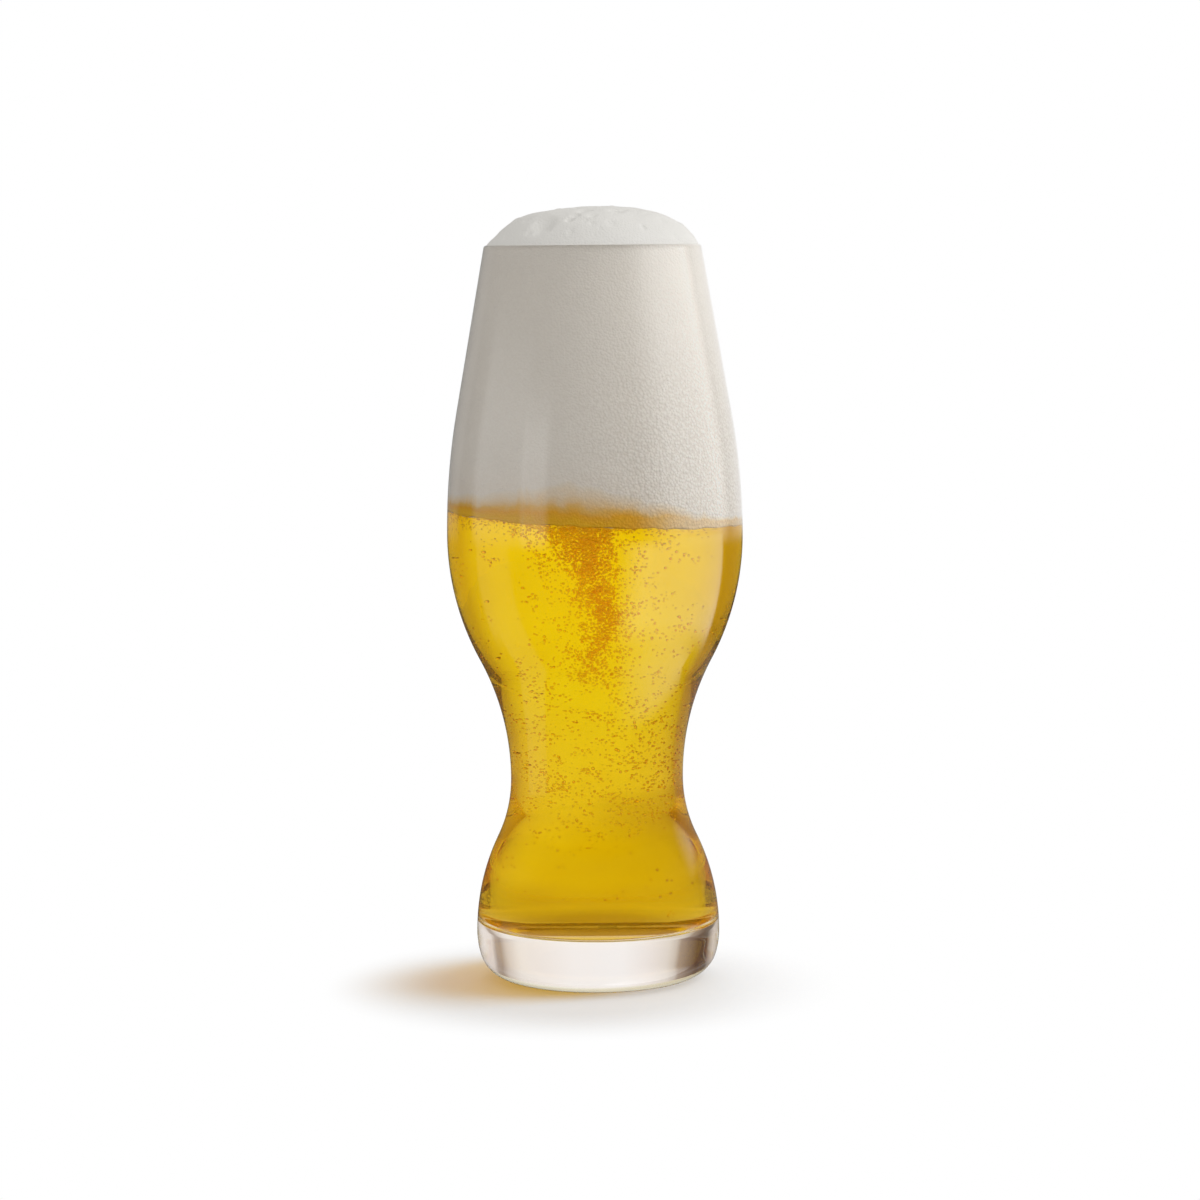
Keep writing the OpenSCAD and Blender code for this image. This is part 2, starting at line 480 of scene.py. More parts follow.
@dataclass(frozen=True)
class Tree:
    """A node tree, with short ways to fill it.

    A Mix node has sockets for several kinds of value, so its colour sockets are known by their numbers.
    """

    data: bpy.types.NodeTree
    mix_inputs: ClassVar[tuple[int, ...]] = (0, 6, 7)
    mix_result: ClassVar[int] = 2

    def add(self, kind: str, inputs: dict | None = None, **settings: Any) -> bpy.types.Node:
        """A node with its settings and inputs.

        Args:
            kind: The node's type, without the words that all types start with.
            inputs: Values or sockets by input name or number.
            settings: Properties of the node.

        Returns:
            The node.
        """
        node = self.data.nodes.new("ShaderNode" + kind)
        for key, value in settings.items():
            setattr(node, key, value)
        for key, value in (inputs or {}).items():
            if isinstance(value, Socket):
                self.data.links.new(value, node.inputs[key])
            else:
                node.inputs[key].default_value = value
        return node

    def out(self, kind: str, inputs: dict | None = None, **settings: Any) -> Socket:
        """The first output of a new node."""
        return self.add(kind, inputs, **settings).outputs[0]

    def place(self) -> Socket:
        """The place on the object."""
        return self.add("TexCoord").outputs["Object"]

    def parts(self, vector: Socket) -> Any:
        """The three parts of a vector."""
        return self.add("SeparateXYZ", {0: vector}).outputs

    def math(self, operation: str, *values: Any) -> Socket:
        """The result of a Math node."""
        return self.out("Math", dict(enumerate(values)), operation=operation)

    def product(self, *values: Any) -> Socket:
        """Numbers or sockets multiplied."""
        return reduce(lambda first, second: self.math("MULTIPLY", first, second), values)

    def vector(self, operation: str, *values: Any) -> Socket:
        """The result of a Vector Math node."""
        node = self.add("VectorMath", dict(enumerate(values)), operation=operation)
        return node.outputs["Value" if operation == "LENGTH" else "Vector"]

    def step(self, value: Socket, first: float, last: float) -> Socket:
        """A value from 0 at first to 1 at last, with soft ends."""
        inputs = {"Value": value, "From Min": first, "From Max": last}
        return self.out("MapRange", inputs, interpolation_type="SMOOTHSTEP")

    def mix(self, share: Any, first: Any, second: Any, blend: str = "MIX") -> Socket:
        """A colour between two others, or the second laid over the first."""
        inputs = dict(zip(self.mix_inputs, (share, first, second)))
        return self.add("Mix", inputs, data_type="RGBA", blend_type=blend).outputs[self.mix_result]

    def shaders(self, share: Any, first: Socket, second: Socket) -> Socket:
        """A shader between two others."""
        return self.out("MixShader", {0: share, 1: first, 2: second})

    def ramp(self, value: Socket, rows: Rows, span: float = 1) -> Socket:
        """A colour that follows a value.

        Args:
            value: The socket that is read, from 0 to 1.
            rows: Place, red, green and blue, in order.
            span: The place that stands for 1.

        Returns:
            The output socket.
        """
        node = self.add("ValToRGB", {0: value})
        elements = node.color_ramp.elements
        while len(elements) < len(rows):
            elements.new(1)
        for element, (place, *colour) in zip(elements, rows):
            element.position = place / span
            element.color = (*colour, 1)
        return node.outputs[0]

    def clear(self, index: float, colour: Any, **more: Any) -> Socket:
        """A smooth shader that light passes through."""
        inputs = {"Base Color": colour, "Roughness": 0.0, "IOR": index, "Transmission Weight": 1.0}
        return self.out("BsdfPrincipled", inputs | more)

    def lit_through(self, shader: Socket, passed: Colour) -> Socket:
        """A shader that lets a share of the lamps' light shine straight through."""
        shadow = self.add("LightPath").outputs["Is Shadow Ray"]
        return self.shaders(shadow, shader, self.out("BsdfTransparent", {"Color": passed}))


def new_material(name: str) -> tuple[bpy.types.Material, Tree]:
    """An empty material.

    Args:
        name: Name of the material.

    Returns:
        The material and its node tree.
    """
    material = bpy.data.materials.new(name)
    material.use_nodes = True
    material.node_tree.nodes.clear()
    return material, Tree(material.node_tree)


# Effects that several materials share


class Effect:
    """An effect as a node group, by the kinds of its inputs and outputs."""

    name: ClassVar[str]
    inputs: ClassVar[dict[str, str]] = {}
    outputs: ClassVar[dict[str, str]]

    def drawn(self, tree: Tree, start: Any) -> tuple[Socket, ...]:
        """The effect's results in its own tree, from its input sockets."""
        raise NotImplementedError

    def group(self) -> bpy.types.NodeTree:
        """The node group, made once.

        Returns:
            The group.
        """
        if self.name in bpy.data.node_groups:
            return bpy.data.node_groups[self.name]
        group = bpy.data.node_groups.new(self.name, "ShaderNodeTree")
        for way, sockets in (("INPUT", self.inputs), ("OUTPUT", self.outputs)):
            for label, kind in sockets.items():
                group.interface.new_socket(label, in_out=way, socket_type="NodeSocket" + kind)
        results = self.drawn(Tree(group), group.nodes.new("NodeGroupInput").outputs)
        end = group.nodes.new("NodeGroupOutput")
        for label, result in zip(self.outputs, results):
            group.links.new(result, end.inputs[label])
        return group

    def placed(self, tree: Tree, **inputs: Any) -> Any:
        """The effect's outputs in a material's tree."""
        return tree.add("Group", inputs, node_tree=self.group()).outputs


@dataclass(frozen=True)
class MeltWaves(Effect):
    """The slow waves that pressing leaves in glass."""

    name: ClassVar[str] = "melt_waves"
    outputs: ClassVar[dict[str, str]] = {"Height": "Float"}
    long_wave: float = 26 * MM
    short_wave: float = 9 * MM
    short_share: float = 0.25
    detail: float = 1.0

    def drawn(self, tree: Tree, start: Any) -> tuple[Socket, ...]:
        """The height of the waves.

        Args:
            tree: The group's tree.
            start: Its input sockets.

        Returns:
            The output socket.
        """
        place = tree.place()
        long, short = (
            tree.out("TexNoise", {"Vector": place, "Scale": 1 / size, "Detail": self.detail})
            for size in (self.long_wave, self.short_wave)
        )
        return (tree.math("MULTIPLY_ADD", short, self.short_share, long),)

    def bump(self, tree: Tree, height: float) -> Socket:
        """Normals of a face with waves."""
        return tree.out("Bump", {"Height": self.placed(tree)[0], "Distance": height})


@dataclass(frozen=True)
class SlowSwirl(Effect):
    """Soft uneven patches, as in a drink that has just been poured."""

    name: ClassVar[str] = "slow_swirl"
    inputs: ClassVar[dict[str, str]] = {"Size": "Float", "Detail": "Float"}
    outputs: ClassVar[dict[str, str]] = {"Swirl": "Float"}
    distortion: float = 0.6
    edges: Point = (0.3, 0.7)

    def drawn(self, tree: Tree, start: Any) -> tuple[Socket, ...]:
        """The patches.

        Args:
            tree: The group's tree.
            start: Its input sockets.

        Returns:
            The output socket.
        """
        scale = tree.math("DIVIDE", 1.0, start["Size"])
        inputs = {"Vector": tree.place(), "Scale": scale, "Detail": start["Detail"]}
        return (tree.step(tree.out("TexNoise", inputs | {"Distortion": self.distortion}), *self.edges),)


@dataclass(frozen=True)
class StudioCards(Effect):
    """Cards around the table as beer and clear glass show them.

    Each row has the angle from the back, red, green and blue. The outputs also give that angle, and how far
    a place is on the right.
    """

    name: ClassVar[str] = "studio_cards"
    inputs: ClassVar[dict[str, str]] = {"Way": "Vector", "Clear": "Float"}
    outputs: ClassVar[dict[str, str]] = {"Colour": "Color", "Turn": "Float", "Right": "Float"}
    left: Rows = (
        (8, 1, 1, 1), (24, 0.9, 0.84, 0.77), (34, 0.76, 0.66, 0.57), (37, 0.64, 0.5, 0.4),
        (41, 0.58, 0.42, 0.32), (50, 0.62, 0.46, 0.35), (58, 0.8, 0.62, 0.5), (64, 1, 0.9, 0.82),
    )
    left_clear: Rows = (
        (8, 0.97, 0.93, 0.9), (17, 0.9, 0.83, 0.78), (25, 0.78, 0.71, 0.64),
        (29, 0.62, 0.54, 0.47), (31.5, 0.38, 0.29, 0.23), (37, 0.24, 0.17, 0.13),
        (44, 0.11, 0.06, 0.04), (54, 0.08, 0.05, 0.04), (66, 0.72, 0.62, 0.56),
    )
    right: Rows = (
        (8, 1, 1, 1), (24, 0.97, 0.91, 0.85), (34, 0.87, 0.76, 0.66), (41, 0.77, 0.62, 0.49),
        (48, 0.77, 0.62, 0.49), (58, 0.92, 0.74, 0.6), (64, 1, 0.9, 0.82),
    )
    right_clear: Rows = (
        (8, 0.97, 0.92, 0.88), (17, 0.94, 0.87, 0.81), (30, 0.88, 0.81, 0.74), (38, 0.68, 0.59, 0.52),
        (43, 0.42, 0.33, 0.27), (47, 0.46, 0.37, 0.31), (52, 0.85, 0.76, 0.7), (64, 1, 0.92, 0.88),
    )
    seam: Point = (-0.1, 0.1)

    def drawn(self, tree: Tree, start: Any) -> tuple[Socket, ...]:
        """The colour of the cards along a way, its angle and its side.

        Args:
            tree: The group's tree.
            start: Its input sockets.

        Returns:
            The three output sockets.
        """
        level = tree.vector("NORMALIZE", tree.vector("MULTIPLY", start["Way"], LEVEL))
        across, along, _ = tree.parts(level)
        turn = tree.math("ARCTAN2", tree.math("ABSOLUTE", across), along)
        turn = tree.math("DIVIDE", turn, math.pi)
        side = tree.step(across, *self.seam)
        looks = [
            tree.mix(start["Clear"], *(tree.ramp(turn, rows, HALF_TURN) for rows in pair))
            for pair in ((self.left, self.left_clear), (self.right, self.right_clear))
        ]
        return tree.mix(side, *looks), turn, side


# Finishes


@dataclass(frozen=True)
class FoamLine:
    """The slanted line where the beer meets the foam."""

    height: float = 137.3 * MM
    slant: float = math.radians(3.0)

    def at(self, x: np.ndarray) -> np.ndarray:
        """Height of the line at some places along X."""
        return self.height - x * math.tan(self.slant)

    def above(self, tree: Tree, across: Socket, height: Socket) -> Socket:
        """How far a place lies above the line."""
        lift = tree.math("MULTIPLY_ADD", across, math.tan(self.slant), -self.height)
        return tree.math("ADD", lift, height)


@dataclass(frozen=True)
class ClearGlass:
    """Clear pressed glass in air."""

    name: str = "clear_glass"
    index: float = 1.5
    wave_height: float = 0.02 * MM
    passed: Colour = (0.93, 0.93, 0.93, 1)

    def material(self) -> bpy.types.Material:
        """The finish.

        Returns:
            The material.
        """
        material, tree = new_material(self.name)
        shader = tree.clear(self.index, WHITE, Normal=MeltWaves().bump(tree, self.wave_height))
        tree.add("OutputMaterial", {"Surface": tree.lit_through(shader, self.passed)})
        return material


@dataclass(frozen=True)
class WettedGlass:
    """The inner face where beer wets the glass, with a brown tint on its floor.

    Painted shade darkens the beer low in the glass and just under the foam.
    The tint and the painted shade colour only rays that have crossed few faces.
    """

    line: FoamLine
    name: str = "wetted_glass"
    index: float = 1.5 / 1.34
    # Painted shade: the beer is tinted darker from high to low in the glass.
    low_painted_shade: Colour = (0.83, 0.635, 0.9, 1)
    high_painted_shade: Colour = (0.95, 0.845, 1, 1)
    painted_shade_heights: Point = (40 * MM, 124 * MM)
    tinted_crossings: float = 4.5
    # A brown tint on the floor of the cavity, near the axis.
    floor_brown: Colour = (0.37, 0.2, 0.3, 1)
    floor_brown_reach: Point = (26 * MM, 8 * MM)
    floor_brown_height: Point = (17 * MM, 15.5 * MM)
    # Painted shade just under the foam line.
    under_foam_shade: Colour = (0.86, 0.74, 0.7, 1)
    under_foam_shade_depth: float = 3 * MM
    wave_height: float = 0.05 * MM
    passed: Colour = (0.97, 0.78, 0.6, 1)

    def material(self) -> bpy.types.Material:
        """The finish.

        Returns:
            The material.
        """
        material, tree = new_material(self.name)
        place = tree.place()
        across, _, height = tree.parts(place)
        reach = tree.vector("LENGTH", tree.vector("MULTIPLY", place, LEVEL))
        # Painted shade that darkens the beer low in the glass.
        tint_and_shade = tree.mix(tree.step(height, *self.painted_shade_heights), self.low_painted_shade, self.high_painted_shade)
        # The brown tint on the floor of the cavity, near the axis.
        floor_browned = tree.step(height, *self.floor_brown_height)
        floor_browned = tree.product(floor_browned, tree.step(reach, *self.floor_brown_reach))
        tint_and_shade = tree.mix(floor_browned, tint_and_shade, self.floor_brown)
        # Painted shade that darkens the beer just under the foam line.
        under_foam_shaded = tree.step(self.line.above(tree, across, height), -self.under_foam_shade_depth, 0)
        tint_and_shade = tree.mix(under_foam_shaded, tint_and_shade, self.under_foam_shade, "MULTIPLY")
        depth = tree.add("LightPath").outputs["Transmission Depth"]
        tint_and_shade = tree.mix(tree.math("GREATER_THAN", depth, self.tinted_crossings), tint_and_shade, WHITE)
        shader = tree.clear(self.index, tint_and_shade, Normal=MeltWaves().bump(tree, self.wave_height))
        tree.add("OutputMaterial", {"Surface": tree.lit_through(shader, self.passed)})
        return material


@dataclass(frozen=True)
class GoldenBeer:
    """Golden beer, tinted by its depth, with faint swirls of haze."""

    name: str = "golden_beer"
    index: float = 1.0
    absorbed: Triple = (1.1, 4.6, 110)
    density_margin: float = 1.05
    haze: Colour = (0.97, 0.94, 0.9, 1)
    swirl_size: float = 14 * MM
    swirl_detail: float = 3.0

    def material(self) -> bpy.types.Material:
        """The finish.

        Returns:
            The material.
        """
        material, tree = new_material(self.name)
        swirl = SlowSwirl().placed(tree, Size=self.swirl_size, Detail=self.swirl_detail)[0]
        shader = tree.clear(self.index, tree.mix(swirl, WHITE, self.haze))
        density = max(self.absorbed) * self.density_margin
        colour = (*(1 - a / density for a in self.absorbed), 1)
        depth = tree.out("VolumeAbsorption", {"Color": colour, "Density": density})
        tree.add("OutputMaterial", {"Surface": tree.lit_through(shader, WHITE), "Volume": depth})
        return material


@dataclass(frozen=True)
class PaleFoam:
    """Dense pale foam, with coarser bubbles low on the right and soaked with beer at its foot.

    A pair that follows the coarseness has the gain and the least value. Painted shade darkens the gaps
    between the bubbles, most where they are coarse. The crown has a darker copy of the foam's colour as
    painted shade, and the foam seen through the beer gets a warmer, lighter colour as painted light.
    """

    line: FoamLine
    name: str = "pale_foam"
    colour: Colour = (0.955, 0.918, 0.858, 1)
    # Painted shade in the gaps between bubbles: its colour, where it starts and how strong it is.
    pit_painted_shade: Colour = (0.8, 0.77, 0.74, 1)
    pit_shade_edges: Point = (0.2, 0.75)
    pit_depth: Point = (0.46, 0.14)
    # Painted shade: the crown is a darker copy of the foam's colour.
    crown_shaded_colour: Colour = (0.82, 0.81, 0.785, 1)
    crown_shade_heights: Point = (215 * MM, 216.5 * MM)
    # Painted light: foam seen through the beer is warmer and lighter.
    under_painted_light: Colour = (1, 0.93, 0.75, 1)
    under_crossings: float = 2.5
    soaked_depth: float = 11.8 * MM
    soaked_middle: float = -7 * MM
    soaked_lean: float = 0.2
    soaked_pale: Point = (-6 * MM, 30 * MM)
    soaked_least: float = 0.5
    soaked: Rows = (
        (0.0, 1, 0.58, 0.015),
        (0.08, 1, 0.56, 0.015),
        (0.23, 0.98, 0.51, 0.03),
        (0.38, 0.94, 0.6, 0.16),
        (0.53, 0.94, 0.73, 0.44),
        (0.69, 0.95, 0.82, 0.64),
        (0.85, 0.955, 0.88, 0.76),
    )
    uneven_size: float = 9 * MM
    uneven_detail: float = 3.0
    uneven_height: Point = (1.8 * MM, -0.9 * MM)
    bubble_sizes: Point = (0.65 * MM, 0.82 * MM)
    coarse_from: Point = (-22 * MM, 26 * MM)
    coarse_below: Point = (216 * MM, 158 * MM)
    bump_strength: Point = (0.65, 0.33)
    bump_height: float = 0.35 * MM
    roughness: Point = (0.25, 0.68)

    def material(self) -> bpy.types.Material:
        """The finish.

        Returns:
            The material.
        """
        material, tree = new_material(self.name)
        place = tree.place()
        across, _, height = tree.parts(place)
        coarse = tree.product(tree.step(across, *self.coarse_from), tree.step(height, *self.coarse_below))
        fine, large = (
            tree.add("TexVoronoi", {"Vector": place, "Scale": 1 / size}).outputs["Distance"]
            for size in self.bubble_sizes
        )
        edges = tree.math("MULTIPLY_ADD", coarse, tree.math("SUBTRACT", large, fine), fine)
        # How strong the painted shade in the gaps and the bump are, both more where the bubbles are coarse.
        pit_shade_strength, strength = (
            tree.math("MULTIPLY_ADD", coarse, *pair) for pair in (self.pit_depth, self.bump_strength)
        )
        # Painted shade in the gaps between the bubbles.
        pits = tree.product(tree.step(edges, *self.pit_shade_edges), pit_shade_strength)
        colour = tree.mix(pits, self.soaking(tree, across, height), self.pit_painted_shade, "MULTIPLY")
        # Painted shade on the crown, a darker copy of the foam's colour.
        colour = tree.mix(tree.step(height, *self.crown_shade_heights), colour, self.crown_shaded_colour)
        # Painted light on foam seen through the beer, warmer and lighter.
        crossed = tree.add("LightPath").outputs["Transmission Depth"]
        under = tree.math("GREATER_THAN", crossed, self.under_crossings)
        inputs = {"Height": edges, "Strength": strength, "Distance": self.bump_height}
        inputs = {
            "Base Color": tree.mix(under, colour, self.under_painted_light),
            "Roughness": tree.math("MULTIPLY_ADD", edges, *self.roughness),
            "Normal": tree.out("Bump", inputs, invert=True),
        }
        tree.add("OutputMaterial", {"Surface": tree.out("BsdfPrincipled", inputs)})
        return material

    def soaking(self, tree: Tree, across: Socket, height: Socket) -> Socket:
        """The colour of the foam, which beer soaks above the slanted line.

        Args:
            tree: The material's tree.
            across: The place along X.
            height: The place along Z.

        Returns:
            The output socket.
        """
        swirl = SlowSwirl().placed(tree, Size=self.uneven_size, Detail=self.uneven_detail)[0]
        uneven = tree.math("MULTIPLY_ADD", swirl, *self.uneven_height)
        above = tree.math("ADD", self.line.above(tree, across, height), uneven)
        aside = tree.math("ABSOLUTE", tree.math("SUBTRACT", across, self.soaked_middle))
        depth = tree.math("MULTIPLY_ADD", aside, -self.soaked_lean, self.soaked_depth)
        pale = tree.product(tree.step(across, *self.soaked_pale), self.soaked_least)
        share = tree.math("MAXIMUM", tree.math("DIVIDE", above, depth), pale)
        return tree.ramp(share, (*self.soaked, (1.0, *self.colour[:3])))


@dataclass(frozen=True)
class GasBubble:
    """Gas in beer, which turns the light aside."""

    name: str = "gas_bubble"
    index: float = 1 / 1.26
    # Painted shade: an amber tint that darkens the clear gas, paler in patches.
    amber_shade: Colour = (0.95, 0.6, 0.18, 1)
    pale_amber_shade: Colour = (1, 0.8, 0.45, 1)
    swirl_size: float = 3 * MM
    swirl_detail: float = 1.0

    def material(self) -> bpy.types.Material:
        """The finish.

        Returns:
            The material.
        """
        material, tree = new_material(self.name)
        # Painted shade on the gas, between two ambers by the swirl.
        swirl = SlowSwirl().placed(tree, Size=self.swirl_size, Detail=self.swirl_detail)[0]
        shader = tree.clear(self.index, tree.mix(swirl, self.amber_shade, self.pale_amber_shade))
        tree.add("OutputMaterial", {"Surface": shader})
        return material


# Pieces


class Piece:
    """What all pieces share: the node that a piece stands for and its material slot."""

    node: ClassVar[Node]
    slot: ClassVar[Slot]

    def seat(self, made: bpy.types.Object) -> bpy.types.Object:
        """Puts a piece in the place of its node.

        Args:
            made: The piece.

        Returns:
            The same piece.
        """
        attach(made, BODY)
        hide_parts(self.node.value)
        return made


@dataclass
class GlassVessel(Piece):
    """The turned glass."""

    node: ClassVar[Node] = Node.GLASS
    slot: ClassVar[Slot] = Slot.GLASS
    outline: GlassOutline
    line: FoamLine
    turning: Turning = Turning(250)
    wet_height: float = 141 * MM

    def build(self) -> bpy.types.Object:
        """Turns the glass and gives its wetted inside a finish of its own.

        Returns:
            The glass.
        """
        outside, inside = self.outline.outside(), self.outline.inside()
        line = joined([outside, inside[::-1]], self.outline.least_edge)
        sides = self.turning.sides
        made = mesh_object("glass_vessel", self.turning.vertices(line), *self.turning.faces(len(line) - 2))
        made.data.materials.append(ClearGlass().material())
        made.data.materials.append(WettedGlass(self.line).material())
        edges = np.arange(len(line) - 3)
        wet = (edges + 1 >= len(outside)) & (line[edges + 2, 1] < self.wet_height)
        slots = np.zeros(len(made.data.polygons), np.int32)
        slots[: len(wet) * sides] = np.repeat(wet, sides)
        slots[-sides:] = 1
        made.data.polygons.foreach_set("material_index", slots)
        return self.seat(made)


@dataclass
class Beer(Piece):
    """The liquid from the floor up to the foam."""

    node: ClassVar[Node] = Node.BEER
    slot: ClassVar[Slot] = Slot.BEER
    outline: GlassOutline
    line: FoamLine
    bite: float = 0.06 * MM
    rise: float = 8 * MM
    turning: Turning = Turning(192)

    def build(self) -> bpy.types.Object:
        """Pours the beer, a hair into the wall so that no film of air is left between.

        Returns:
            The beer.
        """
        inside = self.outline.inside()
        top, low = self.line.height + self.rise, self.line.height - 2 * self.rise
        wall = inside[inside[:, 1] < top]
        steps = np.gradient(wall, axis=0)
        away = np.stack([steps[:, 1], -steps[:, 0]], axis=1)
        away /= np.linalg.norm(away, axis=1, keepdims=True)
        wall = wall + self.bite * away
        wall[0, 0] = 0
        vertices = self.turning.vertices(np.concatenate([wall, [[0, top]]]))
        slanted = np.clip((vertices[:, 2] - low) / (wall[-1, 1] - low), 0, 1)
        slanted = slanted * (self.line.at(vertices[:, 0]) - low) + low
        moved = vertices[:, 2] > low
        vertices[moved, 2] = slanted[moved]
        vertices[:-1][moved[:-1]] = self.outline.fitted(vertices[:-1][moved[:-1]], self.bite)
        made = mesh_object("beer_body", vertices, *self.turning.faces(len(wall) - 1))
        made.data.materials.append(GoldenBeer().material())
        return self.seat(made)


@dataclass
class FoamHead(Piece):
    """The foam from the beer up to its crown.

    Lumps and rags have sizes and shares, and each dent has its place, size and depth in millimetres.
    """

    node: ClassVar[Node] = Node.FOAM
    slot: ClassVar[Slot] = Slot.FOAM
    outline: GlassOutline
    line: FoamLine
    crown_height: float = 11.2 * MM
    crown_top_radius: float = 90 * MM
    shoulder_radius: float = 21.6 * MM
    bite: float = 0.1 * MM
    dip: float = 0.3 * MM
    fringe: float = 0.8 * MM
    fall: float = 8 * MM
    lean: float = 1 * MM
    lean_falls: float = 0.6
    free_height: float = 3 * MM
    lump_height: float = 0.35 * MM
    lumps: Rows = ((11 * MM, 1), (4 * MM, 0.4))
    rags: Rows = ((3.4 * MM, 0.35), (1.3 * MM, 0.3))
    rag_middle: float = 0.5
    pit_count: int = 150
    pit_reach: float = 0.95
    pit_least: float = 0.5
    pit_size: float = 2.2 * MM
    pit_depth: Point = (0.12, 0.3)
    pit_share: float = 0.7
    blister: float = 0.6
    dents: Rows = (
        (-14.5, -20.5, 5, 1.7),
        (-7, -22, 1.8, 0.9),
        (14, -22, 1.4, 0.6),
        (-3, -16, 3.2, 0.6),
        (6, -15, 3.6, 0.7),
    )
    foot_step: float = 1.5 * MM
    wall_step: float = 0.8 * MM
    crown_step: float = 0.4 * MM
    turning: Turning = Turning(420)
    seed: int = 11

    def crown(self) -> np.ndarray:
        """Half outline of the crown, from the crest of the lip to the axis.

        Returns:
            Radius and height, one row a point.
        """
        crest = self.outline.crest
        centre = np.array([0, crest[1] + self.crown_height - self.crown_top_radius])
        way, reach = crest - centre, self.crown_top_radius - self.shoulder_radius
        cosine = (reach**2 + way @ way - self.shoulder_radius**2) / (2 * reach * np.hypot(*way))
        turn = math.atan2(way[1], way[0]) + math.acos(cosine)
        shoulder = centre + reach * np.array([math.cos(turn), math.sin(turn)])
        start = math.atan2(*(crest - shoulder)[::-1])
        return self.outline.drawn(
            Round(tuple(shoulder), self.shoulder_radius, start, turn),
            Round(tuple(centre), self.crown_top_radius, turn, math.pi / 2),
        )

    def ruffle(self, vertices: np.ndarray) -> np.ndarray:
        """Gives the crown its lumps, dents and burst bubbles.

        Args:
            vertices: The smooth foam.

        Returns:
            The foam with its crown ruffled.
        """
        crest = self.outline.crest
        x, y, z = vertices.T
        free = softened(np.clip((z - crest[1]) / self.free_height, 0, 1))
        height = self.lump_height * Lumps(self.seed).mixed(vertices, self.lumps)
        rng = np.random.default_rng(self.seed)
        pits = [tuple(size * MM for size in dent) for dent in self.dents]
        for _ in range(self.pit_count):
            away, turn = crest[0] * math.sqrt(rng.uniform(0, self.pit_reach)), rng.uniform(0, 2 * math.pi)
            size = rng.uniform(self.pit_least, 1.0) ** 2 * self.pit_size
            depth = size * rng.uniform(*self.pit_depth)
            depth *= 1 if rng.uniform() < self.pit_share else -self.blister
            pits.append((away * math.cos(turn), away * math.sin(turn), size, depth))
        for pit_x, pit_y, size, depth in pits:
            near = np.clip(1 - ((x - pit_x) ** 2 + (y - pit_y) ** 2) / size**2, 0, 1)
            height = height - depth * near**2
        moved = vertices.copy()
        moved[:, 2] += free * height
        moved[:, 0] += self.lean * free * np.clip(1 - np.hypot(x, y) / crest[0] * self.lean_falls, 0, 1)
        return moved

    def settle(self, vertices: np.ndarray, low: float, foot_rings: int) -> np.ndarray:
        """Lowers the foot of the foam onto the slanted beer, with a ragged edge of bubbles.

        Args:
            vertices: The foam with a level foot.
            low: Height of the level foot.
            foot_rings: Number of rings of the foot inside the wall.

        Returns:
            The foam on the beer.
        """
        ragged = self.rag_middle + Lumps(self.seed + 1).mixed(vertices * np.array(LEVEL), self.rags)
        least = self.line.at(vertices[:, 0]) - self.dip - self.fringe * ragged
        top = self.line.height + self.fall
        share = np.clip((vertices[:, 2] - low) / (top - low), 0, 1)
        moved = vertices.copy()
        moved[:, 2] = np.where(share < 1, least + share * (top - least), vertices[:, 2])
        wall = share < 1
        wall[: foot_rings * self.turning.sides] = False
        wall[-2:] = False
        moved[wall] = self.outline.fitted(moved[wall], self.bite)
        return moved

    def build(self) -> bpy.types.Object:
        """Raises the foam.

        Returns:
            The foam head.
        """
        inside = self.outline.inside()
        wall = inside[inside[:, 1] > self.line.height - self.fall] + np.array([self.bite, 0])
        foot = evened(np.array([[0, wall[0, 1]], wall[0]]), self.foot_step)
        lines = [foot, evened(wall, self.wall_step), evened(self.crown(), self.crown_step)]
        line = joined(lines, self.outline.least_edge)
        line[-1, 0] = 0
        vertices = self.settle(self.turning.vertices(line), wall[0, 1], len(foot) - 2)
        made = mesh_object("foam_body", self.ruffle(vertices), *self.turning.faces(len(line) - 2))
        made.data.materials.append(PaleFoam(self.line).material())
        return self.seat(made)


@dataclass
class BubbleField(Piece):
    """Bubbles blown one by one in the beer, with the least gaps that they keep around them."""

    slot: ClassVar[Slot] = Slot.BUBBLE
    name: ClassVar[str]
    splits: ClassVar[int] = 1
    seed: ClassVar[int]
    outline: GlassOutline
    line: FoamLine
    finish: bpy.types.Material
    wall_gap: float = 0.15 * MM
    foam_gap: float = 0.35 * MM
    floor_gap: float = 0.5 * MM

    def blow(self, rng: np.random.Generator) -> Arrays:
        """Centres, one row a bubble, and radii, from a source of scatter."""
        raise NotImplementedError

    @staticmethod
    def sizes(rng: np.random.Generator, count: int, least: float, largest: float) -> np.ndarray:
        """Random radii, more of them small than large."""
        return rng.uniform(least, 1, count) ** 2 * largest

    def held(self, centres: np.ndarray, radii: np.ndarray) -> np.ndarray:
        """Which bubbles lie wholly in the beer.

        Args:
            centres: One row a bubble.
            radii: Their radii.

        Returns:
            True for each that does.
        """
        x, y, z = centres.T
        room = self.outline.cavity_radius(z) - radii - self.wall_gap
        under = self.line.at(x) - radii - self.foam_gap
        floor = self.outline.floor_height + radii + self.floor_gap
        return (np.hypot(x, y) < room) & (z < under) & (z > floor)

    def build(self) -> bpy.types.Object:
        """Blows the bubbles as one piece.

        Returns:
            The bubbles.
        """
        centres, radii = self.blow(np.random.default_rng(self.seed))
        kept = self.held(centres, radii)
        centres, radii = centres[kept], radii[kept]
        unit, faces = ball(self.splits)
        vertices = centres[:, None] + radii[:, None, None] * unit[None]
        triangles = faces[None] + (np.arange(len(centres)) * len(unit))[:, None, None]
        made = mesh_object(self.name, vertices.reshape(-1, 3), triangles=triangles.reshape(-1, 3))
        made.data.materials.append(self.finish)
        made.visible_shadow = False
        return self.seat(made)


